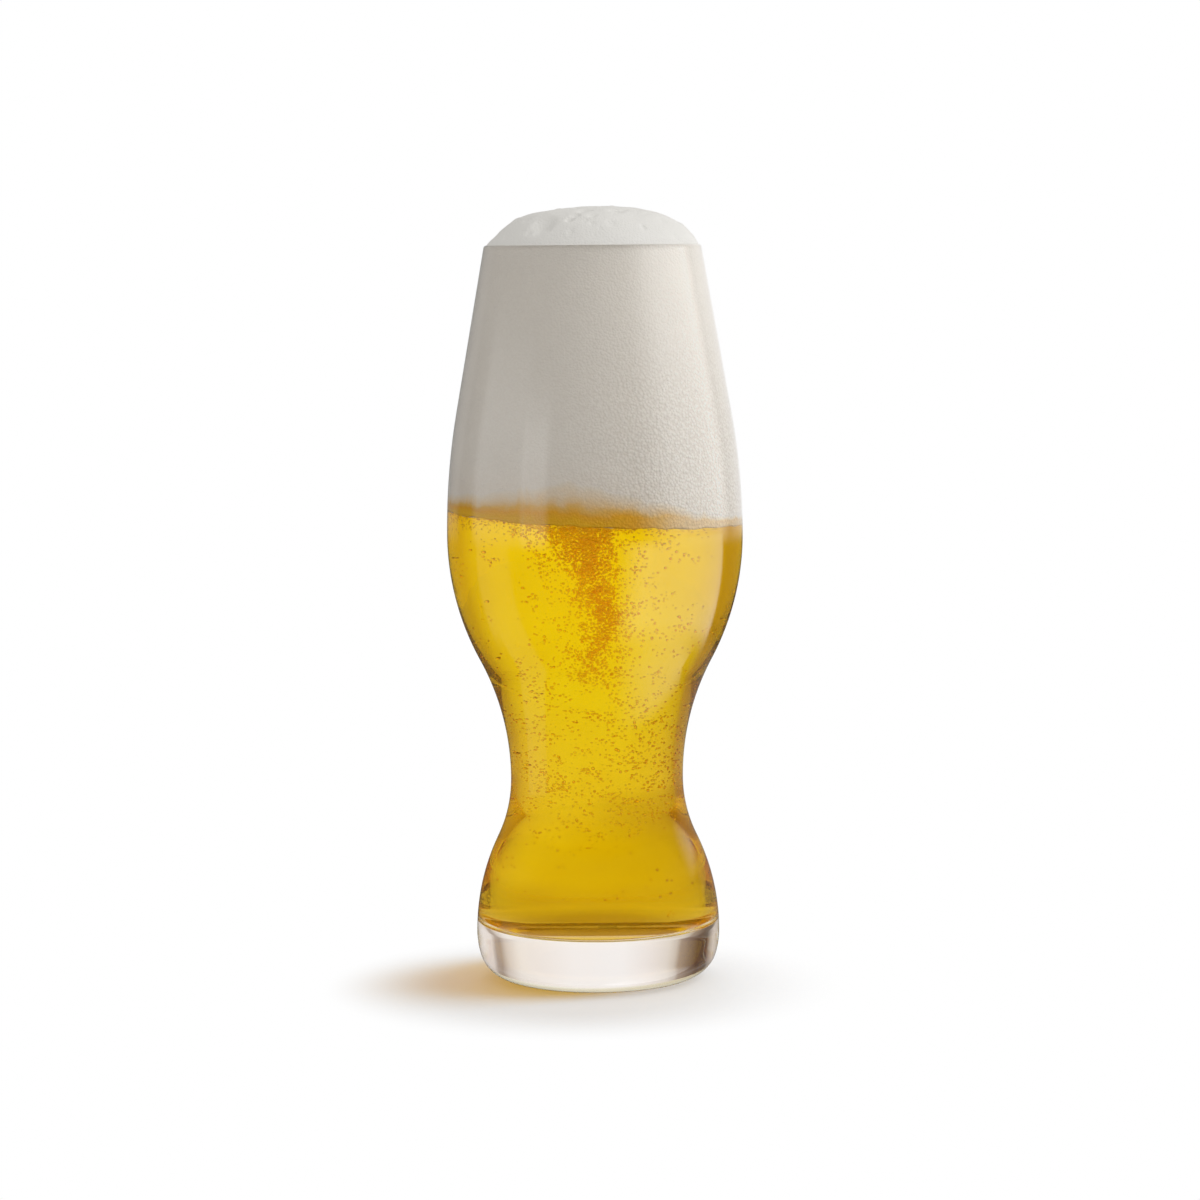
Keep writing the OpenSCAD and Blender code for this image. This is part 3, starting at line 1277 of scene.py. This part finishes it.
@dataclass
class BubblePlume(BubbleField):
    """The cloud that hangs under the foam and thins out downwards, and the fringe along the foam.

    Middles and widths are in millimetres, by the share of the way down.
    """

    node: ClassVar[Node] = Node.PLUME
    name: ClassVar[str] = "bubble_cloud"
    splits: ClassVar[int] = 0
    seed: ClassVar[int] = 21
    count: int = 8100
    radius: float = 0.345 * MM
    least_share: float = 0.5
    length: float = 48 * MM
    top_gap: float = 0.8 * MM
    thinning: Point = (0.62, 1.55)
    middles: Rows = ((0, -3), (0.2, -2), (0.45, 1), (0.62, 1.8), (0.85, -1.4), (1, -2.2))
    widths: Rows = ((0, 10.5), (0.06, 7), (0.16, 5), (0.3, 4), (0.55, 3.4), (0.75, 4), (1, 5.5))
    width_share: float = 0.7
    clump_count: int = 900
    clump_size: float = 0.85 * MM
    halo_share: float = 0.26
    halo_spread: float = 2.8
    fringe_count: int = 3400
    fringe_radius: float = 0.28 * MM
    fringe_least: float = 0.4
    fringe_reach: Point = (0.55, 0.4)
    fringe_gap: float = 0.4 * MM
    fringe_depth: float = 1.1 * MM
    fringe_lean: float = 0.5
    fringe_share: float = 0.65
    fringe_thins: float = 30 * MM

    def blow(self, rng: np.random.Generator) -> Arrays:
        """Places and sizes of the bubbles.

        Args:
            rng: Source of the scatter.

        Returns:
            Centres, one row a bubble, and radii.
        """
        clumps = self.clump_count
        down = rng.beta(*self.thinning, clumps)
        wide = follow(down, self.widths) * MM
        wide = wide * np.where(rng.uniform(size=clumps) < self.halo_share, self.halo_spread, 1)
        x = follow(down, self.middles) * MM + wide * rng.normal(0, self.width_share, clumps)
        y = wide * rng.normal(0, self.width_share, clumps)
        z = self.line.at(x) - self.top_gap - down * self.length
        cloud = np.stack([x, y, z], axis=1)[rng.integers(0, clumps, self.count)]
        cloud = cloud + rng.normal(0, self.clump_size, (self.count, 3))
        sizes = self.sizes(rng, self.count, self.least_share, self.radius)
        edge, edge_sizes = self.fringe(rng)
        return np.concatenate([cloud, edge]), np.concatenate([sizes, edge_sizes])

    def fringe(self, rng: np.random.Generator) -> Arrays:
        """Places and sizes of the small bubbles that hang along the foam, fewer of them on the right.

        Args:
            rng: Source of the scatter.

        Returns:
            Centres, one row a bubble, and radii.
        """
        count = self.fringe_count
        least, power = self.fringe_reach
        turn = rng.uniform(0, 2 * math.pi, count)
        reach = self.outline.cavity_radius(np.full(count, self.line.height))
        reach = reach * rng.uniform(least, 1, count) ** power
        x = reach * np.cos(turn)
        depth = rng.exponential(self.fringe_depth, count) * (1 - self.fringe_lean * x / reach.max())
        sizes = self.sizes(rng, count, self.fringe_least, self.fringe_radius)
        kept = rng.uniform(size=count) < self.fringe_share - x / self.fringe_thins
        return around(reach, turn, self.line.at(x) - self.fringe_gap - sizes - depth)[kept], sizes[kept]


@dataclass
class RisingBubbles(BubbleField):
    """Single bubbles from the belly down to the bulb, by how thick they are at heights in millimetres."""

    node: ClassVar[Node] = Node.RISING
    name: ClassVar[str] = "rising_beads"
    seed: ClassVar[int] = 22
    count: int = 2490
    radius: float = 0.36 * MM
    least_share: float = 0.5
    clump_count: int = 700
    clump_tries: int = 6
    clump_size: float = 1.3 * MM
    clump_form: Triple = (1, 1, 0.6)
    reach_share: float = 0.86
    thickness: Rows = (
        (18, 0.02), (34, 0.1), (46, 0.8), (60, 1), (84, 1), (100, 0.6), (118, 0.4), (134, 0.6)
    )

    def blow(self, rng: np.random.Generator) -> Arrays:
        """Places and sizes of the bubbles.

        Args:
            rng: Source of the scatter.

        Returns:
            Centres, one row a bubble, and radii.
        """
        low, high = self.thickness[0][0] * MM, self.thickness[-1][0] * MM
        z = rng.uniform(low, high, self.clump_tries * self.clump_count)
        z = z[rng.uniform(size=len(z)) < follow(z / MM, self.thickness)][: self.clump_count]
        reach = self.outline.cavity_radius(z) * np.sqrt(rng.uniform(0, 1, len(z))) * self.reach_share
        clumps = around(reach, rng.uniform(0, 2 * math.pi, len(z)), z)
        centres = clumps[rng.integers(0, len(clumps), self.count)]
        centres = centres + rng.normal(0, self.clump_size, (self.count, 3)) * np.array(self.clump_form)
        return centres, self.sizes(rng, self.count, self.least_share, self.radius)


@dataclass
class WallBubbles(BubbleField):
    """Bubbles that cling to the wall of the waist, most of them on the right.

    Heights have their middle and spread in millimetres, and angles in radians.
    """

    node: ClassVar[Node] = Node.WALL
    name: ClassVar[str] = "clinging_beads"
    splits: ClassVar[int] = 2
    seed: ClassVar[int] = 23
    count: int = 320
    radius: float = 0.5 * MM
    least_share: float = 0.45
    cling_gap: float = 0.2 * MM
    right_share: float = 0.65
    right_turn: Point = (-0.6, 0.35)
    heights: Point = (64, 13)

    def blow(self, rng: np.random.Generator) -> Arrays:
        """Places and sizes of the bubbles.

        Args:
            rng: Source of the scatter.

        Returns:
            Centres, one row a bubble, and radii.
        """
        count = self.count
        near = rng.uniform(size=count) < self.right_share
        turn = np.where(near, rng.normal(*self.right_turn, count), rng.uniform(0, 2 * math.pi, count))
        z = rng.normal(*self.heights, count) * MM
        radii = self.sizes(rng, count, self.least_share, self.radius)
        return around(self.outline.cavity_radius(z) - radii - self.cling_gap, turn, z), radii


# Studio


@dataclass(frozen=True)
class Sight:
    """Masks for what the camera sees itself, in a gloss and through the glass, for light and without beer."""

    camera: Socket
    gloss: Socket
    through: Socket
    inside: Socket
    bare: Socket
    direct_depth: ClassVar[float] = 0.5
    bare_crossings: ClassVar[float] = 3.5

    @classmethod
    def of(cls, tree: Tree) -> "Sight":
        """The masks in a tree.

        Args:
            tree: The tree of a material or of the world.

        Returns:
            The masks.
        """
        path = tree.add("LightPath").outputs
        clear = tree.math("LESS_THAN", path["Diffuse Depth"], cls.direct_depth)
        gloss = tree.product(path["Is Glossy Ray"], path["Is Reflection Ray"], clear)
        inside = path["Is Transmission Ray"]
        bare = tree.math("LESS_THAN", path["Transmission Depth"], cls.bare_crossings)
        return cls(path["Is Camera Ray"], gloss, tree.product(inside, clear), inside, bare)


@dataclass(frozen=True)
class Panel:
    """A soft panel that shows in the gloss, by its angle from the back and its rise, height or reach."""

    right: bool
    level: float
    back: Point = (-2, -1)
    front: Point = (400, 390)
    low: Point = (-3, -2)
    high: Point = (0.42, 0.34)

    def shine(self, tree: Tree, cards: Any, rise: Socket) -> Socket:
        """How bright the panel is along a direction.

        Args:
            tree: The tree of a material or of the world.
            cards: The cards' outputs, which give the angle from the back and the side.
            rise: How steep the direction is, or how high or far out a place is.

        Returns:
            The output socket.
        """
        shine = tree.product(cards["Right"], self.level)
        if not self.right:
            shine = tree.math("SUBTRACT", self.level, shine)
        turns = [tree.step(cards["Turn"], *(a / HALF_TURN for a in edge)) for edge in (self.back, self.front)]
        return tree.product(shine, *turns, *(tree.step(rise, *edge) for edge in (self.low, self.high)))

    @staticmethod
    def total(tree: Tree, base: Any, panels: "tuple[Panel, ...]", cards: Any, rise: Socket) -> Socket:
        """Base light and the shine of some panels together."""
        shines = (panel.shine(tree, cards, rise) for panel in panels)
        return reduce(lambda light, shine: tree.math("ADD", light, shine), shines, base)


@dataclass(frozen=True)
class Softbox:
    """A square soft lamp of some watts, which may light the floor only."""

    name: str
    place: Triple
    aim: Triple
    side: float
    power: float
    floor_only: bool

    def hang(self) -> bpy.types.Object:
        """Hangs the lamp, so that only its light is seen.

        Returns:
            The lamp.
        """
        data = bpy.data.lights.new(self.name, "AREA")
        data.shape = "RECTANGLE"
        data.size = data.size_y = self.side
        data.energy = self.power
        lamp = linked(self.name, data)
        lamp.location = self.place
        lamp.rotation_euler = (Vector(self.aim) - Vector(self.place)).to_track_quat("-Z", "Y").to_euler()
        lamp.visible_camera = lamp.visible_glossy = lamp.visible_transmission = False
        return lamp


@dataclass
class Studio:
    """Floor, light and camera."""

    distance: float = 1050 * MM
    eye_height: float = 216.1 * MM
    pitch: float = math.radians(5.666)
    yaw: float = math.radians(0.0726)
    roll: float = math.radians(0.484)
    focal_pixels: float = 3585
    picture_pixels: int = 1200
    sensor: float = 36
    clip_end: float = 50
    cards: StudioCards = StudioCards()
    far_panels: tuple[Panel, ...] = (
        Panel(right=False, level=0.3, back=(74, 78), front=(111, 107), high=(0, -0.1)),
        Panel(right=True, level=0.12, front=(60, 50)),
        Panel(right=True, level=1.25, back=(62, 66), front=(160, 95), high=(-0.5, -0.64)),
        Panel(right=True, level=0.9, back=(30, 42), front=(76, 56), low=(0.1, 0.22), high=(0.5, 0.3)),
    )
    ring_panels: tuple[Panel, ...] = (
        Panel(right=False, level=0.85, back=(84, 93), front=(136, 128), high=(0.23, 0.185)),
        Panel(right=False, level=1.5, back=(129, 133), front=(152, 146), high=(0.21, 0.175)),
        Panel(right=False, level=0.2, front=(70, 62)),
        Panel(right=True, level=0.9, front=(80, 62)),
        Panel(right=True, level=2.4, back=(66, 84), front=(154, 118)),
    )
    shelf_panels: tuple[Panel, ...] = (
        Panel(right=False, level=0.3, back=(74, 78), front=(111, 107), high=(0.9, 0.8)),
        Panel(right=True, level=1.9, back=(62, 66), front=(164, 135), high=(0.9, 0.8)),
    )
    gloss_level: float = 0.05
    gloss_rise: Point = (0.42, 0.25)
    band_sides: int = 128
    ring_radius: float = 0.12
    ring_heights: Point = (0.115, 0.42)
    ring_fade: Point = (0.118, 0.132)
    shelf_height: float = 0.085
    shelf_reach: Point = (0.04, 0.7)
    shelf_fade: Point = (0.045, 0.075)
    shelf_middle: Triple = (0, -0.026, 0)
    open_fill: Colour = (0.68, 0.67, 0.65, 1)
    glass_fill: Colour = (0.86, 0.84, 0.81, 1)
    ceiling: Colour = (0.52, 0.37, 0.12, 1)
    ceiling_rise: Point = (0.48, 0.66)
    floor_sides: int = 96
    floor_radius: float = 0.5
    floor_colour: Colour = (0.36, 0.36, 0.363, 1)
    floor_lift: float = 0.03
    floor_shade: Colour = (0.8, 0.74, 0.6, 1)
    floor_shade_edge: Point = (0.012, -0.02)
    floor_shade_reach: Point = (0.3, 0.11)
    # Painted contact shadow around the foot, seen only through the glass.
    floor_contact_shadow: Colour = (0.86, 0.8, 0.62, 1)
    floor_contact_shadow_reach: Point = (0.086, 0.05)
    floor_through: float = 0.75
    shade_middle: Triple = (-0.004, -0.014, 0)
    shade_radius: Point = (0.038, 0.078)
    lamps: tuple[Softbox, ...] = (
        Softbox("key_softbox", (0.8, -0.1, 0.75), (0, 0, 0.12), 0.6, 3.3, False),
        Softbox("table_softbox_side", (0.7, 0.12, 0.85), (0, 0, 0), 0.5, 21, True),
        Softbox("table_softbox_back", (0.05, 0.6, 0.7), (0, 0, 0), 0.5, 3.5, True),
    )
    long_paths: int = 160
    diffuse_paths: int = 10
    clear_paths: int = 16

    def camera(self) -> None:
        """Sets the camera where the photograph was taken from."""
        data = bpy.data.cameras.new("camera")
        data.sensor_width = self.sensor
        data.lens = self.focal_pixels / self.picture_pixels * self.sensor
        data.clip_end = self.clip_end
        camera = linked("camera", data)
        turn = Matrix.Rotation(-self.yaw, 4, "Z") @ Matrix.Rotation(math.pi / 2 - self.pitch, 4, "X")
        turn = turn @ Matrix.Rotation(-self.roll, 4, "Z")
        camera.matrix_world = Matrix.Translation((0, -self.distance, self.eye_height)) @ turn
        bpy.context.scene.camera = camera

    def world(self) -> None:
        """Lights the studio all round, and shows a white backdrop."""
        world = bpy.data.worlds.new("studio")
        world.use_nodes = True
        world.cycles.sampling_method = "NONE"
        bpy.context.scene.world = world
        world.node_tree.nodes.clear()
        tree = Tree(world.node_tree)
        sight = Sight.of(tree)
        way = tree.add("TexCoord").outputs["Generated"]
        rise = tree.parts(way)[2]
        cards = self.cards.placed(tree, Way=way, Clear=sight.bare)
        base = tree.product(tree.step(rise, *self.gloss_rise), self.gloss_level)
        shine = Panel.total(tree, base, self.far_panels, cards, rise)
        behind = tree.mix(tree.step(rise, *self.ceiling_rise), cards["Colour"], self.ceiling, "MULTIPLY")
        look = tree.mix(sight.inside, self.open_fill, self.glass_fill)
        look = tree.mix(sight.through, look, behind)
        look = tree.mix(sight.gloss, look, tree.out("CombineXYZ", {0: shine, 1: shine, 2: shine}))
        look = tree.mix(sight.camera, look, WHITE)
        tree.add("OutputWorld", {"Surface": tree.out("Background", {"Color": look, "Strength": 1.0})})

    def floor(self) -> bpy.types.Object:
        """Lays a round pale floor that is white where the glass casts no shadow.

        Returns:
            The floor.
        """
        turning = Turning(self.floor_sides)
        line = np.array([[0, 0], [self.floor_radius / 2, 0], [self.floor_radius, 0], [0, 0]])
        quads, ends = turning.faces(2)
        floor = mesh_object("floor", turning.vertices(line)[:-1], quads[:, ::-1], ends[: turning.sides, ::-1])
        material, tree = new_material("pale_floor")
        sight, place = Sight.of(tree), tree.place()
        seen = tree.math("MAXIMUM", sight.camera, sight.through)
        reach = tree.vector("LENGTH", place)
        # Seen through the glass, the floor has painted shade on its left and a painted contact shadow near
        # the foot.
        shaded = tree.step(tree.parts(place)[0], *self.floor_shade_edge)
        shaded = tree.product(shaded, tree.step(reach, *self.floor_shade_reach))
        look = self.cards.placed(tree, Way=place, Clear=sight.bare)["Colour"]
        look = tree.mix(shaded, look, self.floor_shade, "MULTIPLY")
        look = tree.mix(tree.step(reach, *self.floor_contact_shadow_reach), look, self.floor_contact_shadow, "MULTIPLY")
        look = tree.mix(sight.through, WHITE, look)
        shade = tree.out("BsdfDiffuse", {"Color": self.floor_colour})
        glow = tree.out("Emission", {"Strength": tree.product(seen, self.floor_lift)})
        near = tree.out("AddShader", {0: shade, 1: glow})
        white = tree.out("Emission", {"Color": look, "Strength": 1.0})
        aside = tree.vector("MULTIPLY", tree.vector("SUBTRACT", place, self.shade_middle), LEVEL)
        away = tree.product(tree.step(tree.vector("LENGTH", aside), *self.shade_radius), seen)
        away = tree.math("MAXIMUM", away, tree.product(sight.through, self.floor_through))
        tree.add("OutputMaterial", {"Surface": tree.shaders(away, near, white)})
        floor.data.materials.append(material)
        floor.visible_glossy = False
        return floor

    def band(self, name: str, rings: tuple[Point, ...]) -> bpy.types.Object:
        """A band around the axis, which belongs to the studio.

        Args:
            name: Name of the band.
            rings: Radius and height of its two edges.

        Returns:
            The band, which casts no shadow and shows only in a gloss.
        """
        turning = Turning(self.band_sides)
        vertices = turning.vertices(np.array([rings[0], *rings, rings[-1]]))[:-2]
        # Each face is turned over and still starts at its first corner
        quads = np.roll(turning.faces(len(rings))[0][:, ::-1], 1, axis=1)
        band = mesh_object(name, vertices, quads)
        band.visible_camera = band.visible_diffuse = band.visible_shadow = band.visible_transmission = False
        return band

    def gloss_card(self, name: str, rings: tuple[Point, ...], panels: tuple[Panel, ...], tall: bool) -> None:
        """Sets up soft panels around the glass, which show only in its gloss.

        Args:
            name: Name of the card.
            rings: Radius and height of its two edges.
            panels: The panels on it.
            tall: Whether the card stands up, and fades by height rather than by reach.
        """
        material, tree = new_material(name)
        way = tree.place()
        if tall:
            along = tree.parts(way)[2]
            shown = tree.step(along, *self.ring_fade)
        else:
            flat = tree.vector("MULTIPLY", way, LEVEL)
            along = tree.vector("LENGTH", flat)
            way = tree.vector("SUBTRACT", flat, self.shelf_middle)
            under = tree.add("NewGeometry").outputs["Backfacing"]
            shown = tree.product(tree.step(along, *self.shelf_fade), tree.math("SUBTRACT", 1.0, under))
        shine = Panel.total(tree, self.gloss_level, panels, self.cards.placed(tree, Way=way), along)
        bright = tree.out("Emission", {"Strength": shine})
        shown = tree.product(Sight.of(tree).gloss, shown)
        tree.add("OutputMaterial", {"Surface": tree.shaders(shown, tree.out("BsdfTransparent"), bright)})
        self.band(name, rings).data.materials.append(material)

    def build(self) -> None:
        """Sets up the whole studio."""
        scene = bpy.context.scene
        scene.view_settings.view_transform = "Standard"
        cycles = scene.cycles
        cycles.max_bounces = cycles.glossy_bounces = cycles.transmission_bounces = self.long_paths
        cycles.diffuse_bounces = self.diffuse_paths
        cycles.transparent_max_bounces = self.clear_paths
        self.camera()
        self.world()
        table = bpy.data.collections.new("table")
        table.objects.link(self.floor())
        ring = tuple((self.ring_radius, height) for height in self.ring_heights)
        shelf = tuple((reach, self.shelf_height) for reach in self.shelf_reach)
        self.gloss_card("panel_ring", ring, self.ring_panels, True)
        self.gloss_card("panel_shelf", shelf, self.shelf_panels, False)
        for softbox in self.lamps:
            lamp = softbox.hang()
            if softbox.floor_only:
                lamp.light_linking.receiver_collection = table


def main() -> None:
    """Builds the glass, what it holds and the studio."""
    logging.basicConfig(level=logging.INFO, format="%(name)s: %(message)s")
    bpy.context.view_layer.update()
    outline, line, gas = GlassOutline(), FoamLine(), GasBubble().material()
    makers = [kind(outline, line) for kind in (GlassVessel, Beer, FoamHead)]
    makers += [kind(outline, line, gas) for kind in (BubblePlume, RisingBubbles, WallBubbles)]
    for maker in makers:
        made = maker.build()
        log.info("%s: %d faces", made.name, len(made.data.polygons))
    Studio().build()


if __name__ == "__main__":
    main()
